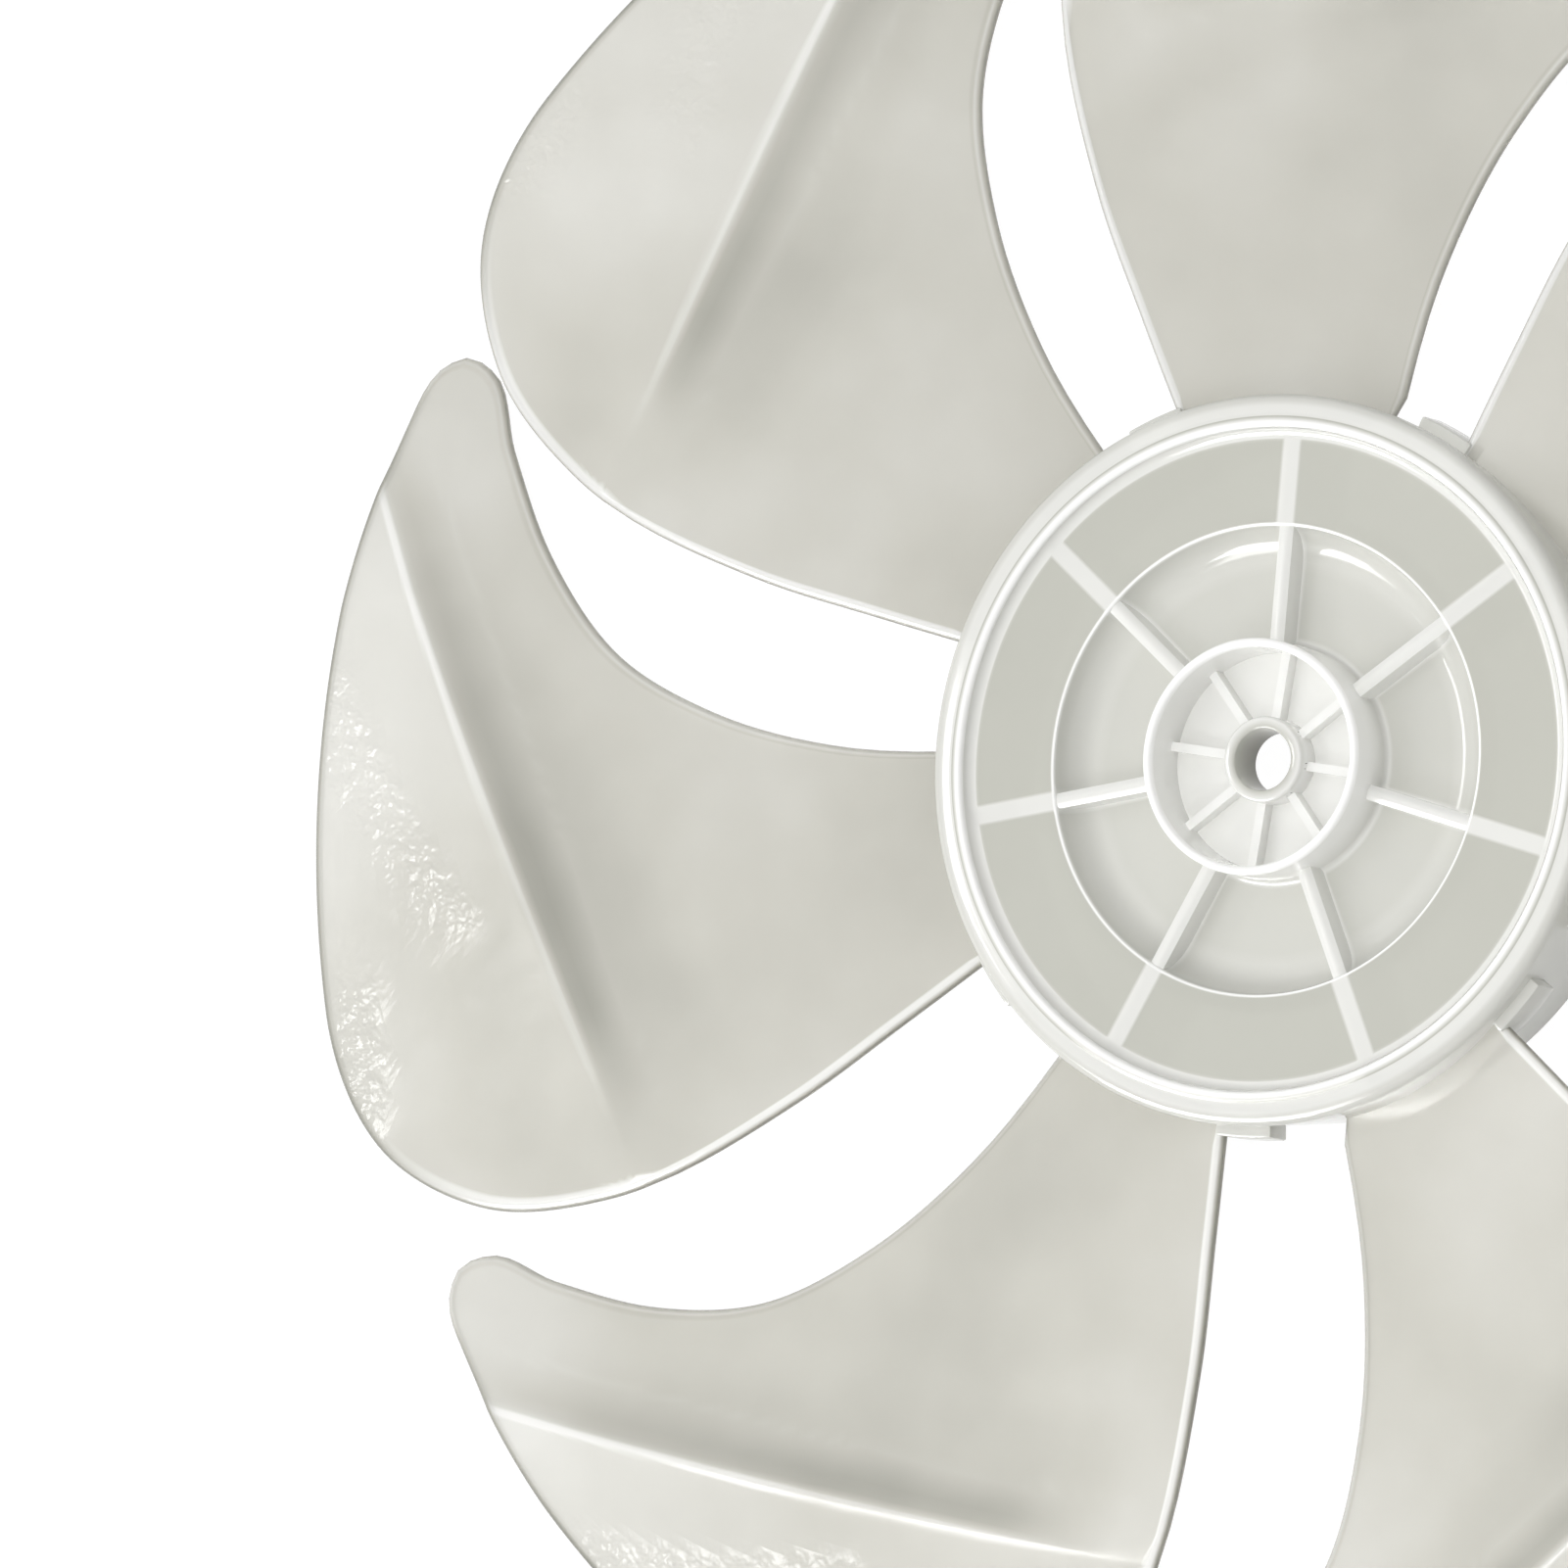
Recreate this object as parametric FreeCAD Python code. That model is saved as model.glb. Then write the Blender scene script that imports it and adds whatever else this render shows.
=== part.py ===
import FreeCAD, Part
import os
from math import cos, radians, sin, sqrt

# Moulded fan rotor with seven swept blades on a shallow cup hub.
# Millimetres. Z is the shaft axis, the front of the fan faces up,
# and the rear edge of the hub skirt lies on Z = 0.

# Rotor
BLADES = 7
TIP_R = 144.0

# Hub skirt, front lip and flat front ring
HUB_R = 47.5
SKIRT_R = 45.5
HUB_H = 22.5
WALL = 2.4
LIP_W = 4.0
LIP_H = 1.7
WEB = 2.2

# Sunk bowl in the front, and the thin collar standing in it
BOWL_R = 30.4
BOWL_DEPTH = 4.2
COLLAR_R = 15.4
COLLAR_WALL = 1.2
COLLAR_TOP = 25.5
CUP_FLOOR = 17.4

# Shaft boss, bore and rear socket with its drive slot
BORE_R = 4.0
BOSS_R = 5.6
BOSS_TOP = 21.5
SOCKET_R = 5.8
SOCKET_WALL = 2.4
SOCKET_REAR = 11.5
SLOT_W = 4.2
SLOT_DEPTH = 2.5

# Ribs behind the front, the ribs across the bowl just below the ring,
# and the short ribs inside the collar
RIB_W = 2.4
RIB_REAR = 5.0
BOWL_RIB_W = 2.0
BOWL_RIB_SINK = 0.2
CUP_RIBS = 8
CUP_RIB_W = 1.2
CUP_RIB_H = 2.2
CUP_RIB_TURN = 8.0

# Lugs on the skirt beside each blade root
LUG_OUT = 1.3
LUG_SPAN = 9.5
LUG_LOW = 13.5
LUG_H = 5.0

# Blade: thickness, height of its middle line and slope across it at root and tip
BLADE_T = 2.0
MID_Z = 13.8
LEAN_ROOT = 0.235
LEAN_TIP = 0.075

# Fold across the outer part: its ridge lies this far inside the tip, leans and bends back,
# and rises to these heights at four even steps along its length
FOLD_IN = 33.1
FOLD_LEAN = 0.328
FOLD_BEND = 0.00044
FOLD_FROM = -80.0
FOLD_TO = 42.0
FOLD_RISE = [0.0, 3.6, 2.4, 0.0]

# Ramp on the hub side of the ridge: distance from it and share of its height.
# The outer panel falls to the last share beyond the tip.
RAMP = [(0.0, 1.0), (2.5, 0.55), (6.0, 0.18), (12.0, 0.0)]
OUTER_SHARE = 0.0

# Planform as shares of the blade's length and of the step between blades
ROOT_LEAD = 0.434
ROOT_TRAIL = -0.253
BULGE = [(0.17, 0.455), (0.352, 0.463), (0.666, 0.414), (0.833, 0.339), (0.953, 0.227)]
TIP_FROM = 0.06
TIP_TO = -0.583
HORN = [(0.988, -0.63), (0.96, -0.651), (0.922, -0.649)]
HOLLOW = [(0.837, -0.576), (0.726, -0.471), (0.585, -0.362), (0.422, -0.292), (0.23, -0.245)]


def vec(x, y, z=0.0):
    return FreeCAD.Vector(x, y, z)


def polar(r, deg, z=0.0):
    return vec(r * cos(radians(deg)), r * sin(radians(deg)), z)


def turned(shape, deg):
    copy = shape.copy()
    copy.rotate(vec(0, 0), vec(0, 0, 1), deg)
    return copy


def spline(points, first=None, last=None):
    # Curve through the points, with a set direction at an end where one is given.
    curve = Part.BSplineCurve()
    ways = [vec(0, 0)] * len(points)
    held = [False] * len(points)
    for i, way in ((0, first), (-1, last)):
        if way is not None:
            ways[i] = way
            held[i] = True
    if any(held):
        curve.interpolate(Points=points, Tangents=ways, TangentFlags=held)
    else:
        curve.interpolate(points)
    return curve.toShape()


def revolve(edges):
    face = Part.Face(Part.Wire(edges))
    return face.revolve(vec(0, 0), vec(0, 0, 1), 360)


def path(points):
    # Straight edges in the half plane from a list of (r, z) corners.
    corners = [vec(r, 0, z) for r, z in points]
    return [Part.makeLine(a, b) for a, b in zip(corners, corners[1:])]


def arc(a, b, c):
    ends = [vec(r, 0, z) for r, z in (a, b, c)]
    return Part.Arc(*ends).toShape()


def skirt_r(z):
    return SKIRT_R + (HUB_R - SKIRT_R) * z / FLOOR


# Levels that follow from the sizes above
FLOOR = HUB_H - LIP_H
BOWL_FLOOR = FLOOR - BOWL_DEPTH
CORNER_R = BOWL_R - BOWL_DEPTH
ROOT_R = (SKIRT_R + HUB_R - WALL) / 2
STEP = 360.0 / BLADES
DIAG = sqrt(0.5)

# Hub as a full turn: skirt, bevelled lip, flat ring, bowl, collar, cup and boss
lip_bevel = LIP_W / 4
lip_edge = HUB_H - LIP_H / 4
bowl_mid = (CORNER_R + BOWL_DEPTH * DIAG, FLOOR - BOWL_DEPTH * DIAG)
collar_in = COLLAR_R - COLLAR_WALL
hub_edges = path([(0, 0), (SKIRT_R, 0), (HUB_R, FLOOR), (HUB_R - lip_bevel / 2, lip_edge),
                  (HUB_R - lip_bevel, HUB_H), (HUB_R - LIP_W + lip_bevel, HUB_H),
                  (HUB_R - LIP_W + lip_bevel / 2, lip_edge), (HUB_R - LIP_W, FLOOR), (BOWL_R, FLOOR)])
hub_edges += [arc((BOWL_R, FLOOR), bowl_mid, (CORNER_R, BOWL_FLOOR))]
hub_edges += path([(CORNER_R, BOWL_FLOOR), (COLLAR_R, BOWL_FLOOR), (COLLAR_R, COLLAR_TOP),
                   (collar_in, COLLAR_TOP), (collar_in, CUP_FLOOR), (BOSS_R, CUP_FLOOR),
                   (BOSS_R, BOSS_TOP), (0, BOSS_TOP), (0, 0)])
hub = revolve(hub_edges)

# Rear pocket under the front skin, cut away between the ribs
tube_r = SOCKET_R + SOCKET_WALL
cup_under = CUP_FLOOR - WEB
top_r = skirt_r(FLOOR - WEB) - WALL
pocket = revolve(path([(tube_r, -1), (tube_r, cup_under), (collar_in, cup_under),
                       (collar_in, BOWL_FLOOR - WEB), (CORNER_R + WEB, BOWL_FLOOR - WEB),
                       (BOWL_R + WEB, FLOOR - WEB), (top_r, FLOOR - WEB),
                       (SKIRT_R - WALL, 0), (SKIRT_R - WALL, -1), (tube_r, -1)]))
rib = Part.makeBox(HUB_R, RIB_W, HUB_H, vec(0, -RIB_W / 2, RIB_REAR))
ribs = [turned(rib, i * STEP) for i in range(BLADES)]
hub = hub.cut(pocket.cut(ribs))

# Bore through the boss, socket behind it and the slot for a drive pin
hub = hub.cut(Part.makeCylinder(BORE_R, HUB_H + BOSS_TOP, vec(0, 0, -1)))
hub = hub.cut(Part.makeCylinder(SOCKET_R, cup_under + 1, vec(0, 0, -1)))
hub = hub.cut(Part.makeCylinder(tube_r + 0.01, SOCKET_REAR + 1, vec(0, 0, -1)))
slot = Part.makeBox(2 * tube_r, SLOT_W, SLOT_DEPTH, vec(-tube_r, -SLOT_W / 2, SOCKET_REAR))
hub = hub.cut(turned(slot, STEP / 2))

# Short ribs from the boss to the collar
cup_reach = collar_in - BOSS_R + COLLAR_WALL
cup_rib = Part.makeBox(cup_reach, CUP_RIB_W, CUP_RIB_H + WEB / 2,
                       vec(BOSS_R - COLLAR_WALL / 2, -CUP_RIB_W / 2, CUP_FLOOR - WEB / 2))
extras = [turned(cup_rib, CUP_RIB_TURN + i * 360.0 / CUP_RIBS) for i in range(CUP_RIBS)]

# Ribs across the bowl, from the collar to the ring
bowl_rib_low = BOWL_FLOOR - WEB / 2
bowl_rib = Part.makeBox(BOWL_R - collar_in, BOWL_RIB_W, FLOOR - BOWL_RIB_SINK - bowl_rib_low,
                        vec(COLLAR_R - COLLAR_WALL / 2, -BOWL_RIB_W / 2, bowl_rib_low))
extras += [turned(bowl_rib, i * STEP) for i in range(BLADES)]

# Lugs beside the blade roots
lug_out = HUB_R + LUG_OUT
lug_top = LUG_LOW + LUG_H
lug_face = Part.Face(Part.Wire(path([(ROOT_R, LUG_LOW), (lug_out, LUG_LOW), (lug_out, lug_top),
                                     (ROOT_R, lug_top), (ROOT_R, LUG_LOW)])))
lug = turned(lug_face.revolve(vec(0, 0), vec(0, 0, 1), LUG_SPAN), ROOT_LEAD * STEP - 1)


# Front face of the blade: a twisted sheet with a ridge and a ramp folded across it
def twist_z(x, y):
    part = (x - ROOT_R) / (TIP_R - ROOT_R)
    return MID_Z + y * (LEAN_ROOT + part * (LEAN_TIP - LEAN_ROOT))


def fold_line(inward, share):
    # Four points along the blade at a set distance from the ridge and share of its height.
    points = []
    for i, rise in enumerate(FOLD_RISE):
        y = FOLD_FROM + (FOLD_TO - FOLD_FROM) * i / 3
        x = TIP_R - FOLD_IN - FOLD_LEAN * y - FOLD_BEND * y * y - inward
        points.append(vec(x, y, twist_z(x, y) + share * rise))
    return points


def straight_line(x, share):
    # Four points along the blade at a set distance from the shaft.
    return [vec(x, p.y, twist_z(x, p.y) + share * rise) for p, rise in zip(fold_line(0, 0), FOLD_RISE)]


def poles(points):
    # Ends and handles of the cubic curve that runs through four points at even steps.
    a, b, c, d = points
    return [a, (b * 18 - a * 5 - c * 9 + d * 2) / 6, (c * 18 - d * 5 - b * 9 + a * 2) / 6, d]


def panel(one, other):
    # Sheet spanned straight across between two cubic curves, with the blade's thickness.
    net = [list(pair) for pair in zip(poles(one), poles(other))]
    skin = Part.BSplineSurface()
    skin.buildFromPolesMultsKnots(net, [4, 4], [2, 2], [0, 1], [0, 1], False, False, 3, 1)
    return skin.toShape().extrude(vec(0, 0, -BLADE_T))


lines = [straight_line(TIP_R + 2 * WALL, OUTER_SHARE)]
lines += [fold_line(inward, share) for inward, share in RAMP]
lines += [straight_line(ROOT_R - 2 * WALL, 0)]
panels = [panel(one, other) for one, other in zip(lines, lines[1:])]
slab = panels[0].fuse(panels[1:])


# Planform: bulging edge, round tip, pointed horn and hollow edge
def plan(length, turn):
    return polar(ROOT_R + length * (TIP_R - ROOT_R), turn * STEP)


lead = [plan(*p) for p in [(0, ROOT_LEAD)] + BULGE + [(1, TIP_FROM)]]
trail = [plan(*p) for p in [(1, TIP_TO)] + HORN + HOLLOW + [(0, ROOT_TRAIL)]]
outline = Part.Wire([
    spline(lead, last=polar(1, TIP_FROM * STEP - 90)),
    Part.Arc(lead[-1], plan(1, (TIP_FROM + TIP_TO) / 2), trail[0]).toShape(),
    spline(trail, first=polar(1, TIP_TO * STEP - 90)),
    Part.Arc(trail[-1], plan(0, (ROOT_LEAD + ROOT_TRAIL) / 2), lead[0]).toShape(),
])
outline.translate(vec(0, 0, -HUB_H))
blade = slab.common(Part.Face(outline).extrude(vec(0, 0, 3 * HUB_H)))

# One moulding
for i in range(BLADES):
    extras += [turned(blade, i * STEP), turned(lug, i * STEP)]
fan_blade = hub.fuse(extras).removeSplitter()

os.makedirs("parts", exist_ok=True)
fan_blade.exportStep("parts/fan_blade.step")
print("solids", len(fan_blade.Solids), "volume", round(fan_blade.Volume))
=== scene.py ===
# %% [markdown]
# # A fan rotor in clear smoke-grey plastic
# The object is one moulding: seven swept blades round a shallow cup hub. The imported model
# gives the true sizes, and this script makes the finished skin over it: rounded rims, a
# soft fold in each blade, a rolled lip, and the milky clear plastic itself.

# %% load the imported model
import bpy
import bmesh
from math import asin, cos, exp, pi, radians, sin, sqrt
from mathutils import Matrix, Vector
from mathutils.geometry import interpolate_bezier


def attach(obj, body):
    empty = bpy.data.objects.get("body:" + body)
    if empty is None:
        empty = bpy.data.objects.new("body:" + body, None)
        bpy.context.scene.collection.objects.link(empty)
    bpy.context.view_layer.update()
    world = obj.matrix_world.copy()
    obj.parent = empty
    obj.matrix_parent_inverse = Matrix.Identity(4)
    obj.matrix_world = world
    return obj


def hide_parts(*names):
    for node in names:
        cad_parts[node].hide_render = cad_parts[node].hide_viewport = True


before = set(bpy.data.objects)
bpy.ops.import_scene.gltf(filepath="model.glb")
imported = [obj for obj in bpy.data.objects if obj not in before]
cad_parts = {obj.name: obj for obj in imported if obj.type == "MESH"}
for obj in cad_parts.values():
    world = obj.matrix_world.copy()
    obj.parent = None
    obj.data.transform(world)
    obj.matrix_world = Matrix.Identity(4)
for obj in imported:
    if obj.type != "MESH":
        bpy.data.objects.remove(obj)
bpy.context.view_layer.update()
scene = bpy.context.scene
MM = 0.001

# %% [markdown]
# ## Camera
# The photograph looks at the front of the rotor from about 28 degrees off the shaft, from
# far away, so its circles are slightly narrow ellipses. A long lens at 2.5 m gives the same
# flat perspective. The three directions below are the picture's right, up and towards-viewer
# directions on the rotor, and the hub stands right of the middle of the picture.

# %% camera
VIEW_RIGHT = Vector((0.8430, 0.2820, -0.4581))
VIEW_UP = Vector((-0.2677, 0.9588, 0.0976))
VIEW_BACK = Vector((0.4667, 0.0404, 0.8836))
HUB_POINT = Vector((0.0, 0.0, 0.021))
HUB_SHIFT = (0.0620, 0.0032)
DISTANCE = 2.5
PICTURE_WIDTH = 0.20235
SENSOR_WIDTH = 36.0
FAR_CLIP = 20.0

camera = bpy.data.objects.new("camera", bpy.data.cameras.new("camera"))
scene.collection.objects.link(camera)
scene.camera = camera
camera.data.sensor_width = SENSOR_WIDTH
camera.data.lens = SENSOR_WIDTH * DISTANCE / PICTURE_WIDTH
camera.data.clip_end = FAR_CLIP
aim = HUB_POINT - VIEW_RIGHT * HUB_SHIFT[0] - VIEW_UP * HUB_SHIFT[1]
place = Matrix((VIEW_RIGHT, VIEW_UP, VIEW_BACK)).transposed().to_4x4()
place.translation = aim + VIEW_BACK * DISTANCE
camera.matrix_world = place
print("camera at", [round(v, 3) for v in place.translation], "lens", round(camera.data.lens, 1))

# %% [markdown]
# ## Blade outline
# Seen along the shaft, a blade has a bulging edge, a round tip, a pointed horn and a hollow
# edge. The corner points are the model's own, as shares of the blade's length and of the step
# between blades. Bezier handles that follow the neighbouring points join them smoothly.

# %% blade outline
BLADES = 7
STEP = 2 * pi / BLADES
TIP_R = 144.0
ROOT_R = 45.3
ROOT_LEAD, ROOT_TRAIL = 0.434, -0.253
TIP_FROM, TIP_TO = 0.06, -0.583
BULGE = [(0.17, 0.455), (0.352, 0.463), (0.666, 0.414), (0.833, 0.339), (0.953, 0.227)]
HORN = [(0.988, -0.63), (0.96, -0.651), (0.922, -0.649)]
HOLLOW = [(0.837, -0.576), (0.726, -0.471), (0.585, -0.362), (0.422, -0.292), (0.23, -0.245)]
CURVE_STEPS, TIP_STEPS, ROOT_STEPS = 40, 120, 40


def plan(length, turn):
    r = ROOT_R + length * (TIP_R - ROOT_R)
    return Vector((r * cos(turn * STEP), r * sin(turn * STEP)))


def smooth_curve(points, first=None, last=None):
    # An end without a set direction is left to bend as freely as a thin strip would.
    gaps = [(b - a).length for a, b in zip(points, points[1:])]
    ways = [None] * len(points)
    for i in range(1, len(points) - 1):
        before, after = gaps[i - 1], gaps[i]
        ways[i] = ((points[i + 1] - points[i]) * (before / after)
                   + (points[i] - points[i - 1]) * (after / before)) / (before + after)
    ways[0] = first or (points[1] - points[0]) * (1.5 / gaps[0]) - ways[1] / 2
    ways[-1] = last or (points[-1] - points[-2]) * (1.5 / gaps[-1]) - ways[-2] / 2
    line = []
    for i, gap in enumerate(gaps):
        a, b = points[i].to_3d(), points[i + 1].to_3d()
        one, two = a + ways[i].to_3d() * gap / 3, b - ways[i + 1].to_3d() * gap / 3
        line += [p.to_2d() for p in interpolate_bezier(a, one, two, b, CURVE_STEPS)[:-1]]
    return line


def around(length, start, end, steps):
    return [plan(length, start + (end - start) * i / steps) for i in range(steps)]


def turned_back(turn):
    return Vector((sin(turn * STEP), -cos(turn * STEP)))


lead = [plan(*p) for p in [(0, ROOT_LEAD)] + BULGE + [(1, TIP_FROM)]]
trail = [plan(*p) for p in [(1, TIP_TO)] + HORN + HOLLOW + [(0, ROOT_TRAIL)]]
outline = smooth_curve(lead, last=turned_back(TIP_FROM))
bulge_count = len(outline)
outline += around(1, TIP_FROM, TIP_TO, TIP_STEPS)
outline += smooth_curve(trail, first=turned_back(TIP_TO))
outline += around(0, ROOT_TRAIL, ROOT_LEAD, ROOT_STEPS)
print("outline points:", len(outline))

# %% [markdown]
# ## Blade face
# The face is a twisted sheet with a fold across its outer part: a ridge, a ramp that falls
# towards the hub, and an outer panel that falls gently to the tip. Written as a height over
# the plan, the fold can be softened by a fraction of a millimetre, as a mould does, and can
# run out smoothly before it reaches the horn.

# %% blade face
BLADE_T = 2.0
MID_Z = 13.8
LEAN_ROOT, LEAN_TIP = 0.235, 0.075
FOLD_IN, FOLD_LEAN, FOLD_BEND = 33.1, 0.328, 0.00044
FOLD_FROM, FOLD_TO = -80.0, 42.0
FOLD_RISE = [0.0, 3.6, 2.4, 0.0]
RAMP_W, RAMP_POWER = 14.0, 3
OUTER_END = TIP_R + 4.8
RIDGE_ROUND = 0.5
RUN_OUT = (-78.0, -46.0)


def ridge_x(y):
    return TIP_R - FOLD_IN - FOLD_LEAN * y - FOLD_BEND * y * y


def ridge_height(y):
    # The cubic curve through the four heights, brought down to nothing towards the horn.
    t = 3 * (y - FOLD_FROM) / (FOLD_TO - FOLD_FROM)
    second = t * (t - 2) * (t - 3) / 2
    third = -t * (t - 1) * (t - 3) / 2
    run_out = min(max((y - RUN_OUT[0]) / (RUN_OUT[1] - RUN_OUT[0]), 0.0), 1.0)
    return (second * FOLD_RISE[1] + third * FOLD_RISE[2]) * run_out


def face_z(x, y):
    part = (x - ROOT_R) / (TIP_R - ROOT_R)
    twist = MID_Z + y * (LEAN_ROOT + part * (LEAN_TIP - LEAN_ROOT))
    inward = ridge_x(y) - x
    soft = sqrt(inward * inward + RIDGE_ROUND ** 2)
    ramp = max(0.0, 1 - (soft + inward) / 2 / RAMP_W) ** RAMP_POWER
    fall = (soft - inward) / 2 / (OUTER_END - ridge_x(y))
    return twist + ridge_height(y) * (ramp - fall)


print("ridge height in mm:", [round(ridge_height(y), 2) for y in (-60, -40, -20, 0, 20, 40)])

# %% [markdown]
# ## Columns of the blade skin
# A skin whose lines follow the ridge shows it as one clean glint, where a plain square grid
# would show steps. So the columns of one grid run from the inner edge over the ridge to the
# outer edge, round the rim, back under the blade and round the other rim. The two ends of the
# grid close up where the ridge runs out at the edge. First the outline is drawn in by the
# radius of the rim and split where the ridge meets it, and each half is shared out among the
# columns. Each of its points keeps its outward direction and the kind of edge it lies on.

# %% columns of the blade skin
RIM_R = BLADE_T / 2
HORN_COLUMNS, MAIN_COLUMNS = 34, 78
HORN_Y = -42.0
BULGE_END, TIP_END = (0.6, 0.9), (1.45, 1.65)


def ease(value, start, end):
    t = min(max((value - start) / (end - start), 0.0), 1.0)
    return t * t * (3 - 2 * t)


def inset_loop(points, depth):
    loop = []
    for i, p in enumerate(points):
        along = points[(i + 1) % len(points)] - points[i - 1]
        out = Vector((-along.y, along.x)).normalized()
        share = i / bulge_count
        bulge = 1 - ease(share, *BULGE_END) if i < bulge_count else 0.0
        tip = ease(share, *BULGE_END) * (1 - ease(share, *TIP_END))
        loop.append((p - out * depth, Vector((out.x, out.y, bulge, tip))))
    return loop


def blend(a, b, t):
    return tuple(p.lerp(q, t) for p, q in zip(a, b))


def split_at_ridge(loop):
    # Both halves run from the horn end of the ridge to its low end.
    pairs = list(zip(loop, loop[1:] + loop[:1]))
    side = [ridge_x(p.y) - p.x for p, _ in loop]
    step = list(zip(side, side[1:] + side[:1]))
    cuts = [i for i, (a, b) in enumerate(step) if a * b < 0]
    ends = [blend(*pairs[i], step[i][0] / (step[i][0] - step[i][1])) for i in cuts]
    one = [ends[0]] + loop[cuts[0] + 1:cuts[1] + 1] + [ends[1]]
    two = [ends[1]] + loop[cuts[1] + 1:] + loop[:cuts[0] + 1] + [ends[0]]
    return [half if half[0][0].y < half[-1][0].y else half[::-1] for half in (one, two)]


def spaced(chain, shares):
    reach = [0.0]
    for (a, _), (b, _) in zip(chain, chain[1:]):
        reach.append(reach[-1] + (b - a).length)
    found, i = [], 0
    for share in shares:
        goal = share * reach[-1]
        while i < len(chain) - 2 and reach[i + 1] < goal:
            i += 1
        part = (goal - reach[i]) / (reach[i + 1] - reach[i])
        found.append(blend(chain[i], chain[i + 1], part))
    return found


def level_at(chain, y):
    for a, b in zip(chain, chain[1:]):
        if (a[0].y - y) * (b[0].y - y) <= 0 and b[0].y > a[0].y:
            return blend(a, b, (y - a[0].y) / (b[0].y - a[0].y))
    return chain[-1]


outer, inner = split_at_ridge(inset_loop(outline, RIM_R))
start_y, end_y = outer[0][0].y, outer[-1][0].y
horn_end = next(i for i, (p, _) in enumerate(inner) if p.y > HORN_Y)
levels = [start_y + (HORN_Y - start_y) * i / HORN_COLUMNS for i in range(HORN_COLUMNS)]
levels += [HORN_Y + (end_y - HORN_Y) * i / MAIN_COLUMNS for i in range(MAIN_COLUMNS + 1)]
horn_edge = spaced(inner[:horn_end], [i / HORN_COLUMNS for i in range(HORN_COLUMNS)])
main_edge = [level_at(inner[horn_end - 1:], y) for y in levels[HORN_COLUMNS:-1]] + [inner[-1]]
inner_edge = horn_edge + main_edge
outer_edge = spaced(outer, [(y - start_y) / (end_y - start_y) for y in levels])
print("ridge runs from y", round(start_y, 1), "to", round(end_y, 1), "mm, columns", len(levels))

# %% [markdown]
# ## Rows of the blade skin
# Along a column, the rows lie close together at the rims and at the ridge, where the skin bends,
# and farther apart on the plain face. The rim is a half circle as wide as the blade is thick.

# %% rows of the blade skin
RIM_STEPS = 8
INNER_ROWS, OUTER_ROWS = 24, 16
INNER_POWER, OUTER_POWER = 2.2, 1.7
INSETS = [0.0, 0.3, 0.7, 1.2, 1.8]
NARROW = 4 * INSETS[-1]


def face_rows(level, edge, count, power, insets):
    # Rows from an edge to the ridge: a few close to the edge, then wider ones.
    rows = [(level, edge, inset, 0.0) for inset in insets]
    shares = [1 - (1 - i / count) ** power for i in range(1, count)]
    return rows + [(level, edge, insets[-1], share) for share in shares]


def loop_rows():
    crest, under_crest = ("top", outer_edge, 0.0, 1.0), ("under", outer_edge, 0.0, 1.0)
    turns = [i / RIM_STEPS for i in range(1, RIM_STEPS)]
    rows = face_rows("top", inner_edge, INNER_ROWS, INNER_POWER, INSETS) + [crest]
    rows += face_rows("top", outer_edge, OUTER_ROWS, OUTER_POWER, INSETS)[::-1]
    rows += [("rim", outer_edge, t, 0.0) for t in turns]
    rows += face_rows("under", outer_edge, OUTER_ROWS, OUTER_POWER, [0.0]) + [under_crest]
    rows += face_rows("under", inner_edge, INNER_ROWS, INNER_POWER, [0.0])[::-1]
    rows += [("rim", inner_edge, t, 0.0) for t in turns[::-1]]
    return rows + rows[:1]


blade_rows = loop_rows()
print("rows round the blade:", len(blade_rows))

# %% [markdown]
# ## Painted light and shade of the blade
# Two numbers are kept at every point for the finish: a painted shading, paler or deeper than the
# plain plastic, and a mark for the crumpled patches near the tip. The crest and the rims get a
# painted highlight and look white, the ramp behind the crest gets painted shade, and a painted
# dark line runs where a rim turns under. A soft wedge of painted shade lies beside the ramp, a
# thin painted glint line runs along it, the outer panel is painted lighter, and the blade is
# lighter towards the tip and the horn. Each painted mark has a strength, and the distances in mm
# over which it comes and goes. Three of them change from the horn end of the fold to its low end.

# %% painted light and shade of the blade
FOLD_SPAN, LOW_END = (-72.0, -54.0, 12.0, 33.0), (-45.0, 10.0)
CREST_HIGHLIGHT, CREST_AT, CREST_FADE = (0.75, 0.45), -0.35, (0.25, 0.8)
RAMP_SHADE, RAMP_SPAN = (-0.18, -0.36), (0.3, 1.2, 2.4, 7.5)
PANEL_LIGHT, PANEL_FADE = (0.24, 0.1), (0.0, 1.0)
WEDGE_SHADE, WEDGE_START, WEDGE_SOFT = -0.15, (0.5, 3.0), 4.0
WEDGE_FROM, WEDGE_W, WEDGE_SPREAD = -70.0, 8.0, 0.12
GLINT_LINE_TONE, GLINT_LINE_AT, GLINT_LINE_W = 0.07, 7.5, 0.5
WHITE_EDGE, DARK_EDGE, DARK_EDGE_TONE = (0.5, 1.3), (0.2, 0.8), -0.16
TIP_TONE, TIP_FADE = 0.16, (112.0, 138.0)
HORN_TONE, HORN_FADE = 0.1, (45.0, 65.0)


def stretch(value, rise_from, rise_to, fall_from, fall_to):
    return ease(value, rise_from, rise_to) * (1 - ease(value, fall_from, fall_to))


def between(pair, share):
    return pair[0] + (pair[1] - pair[0]) * share


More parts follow.
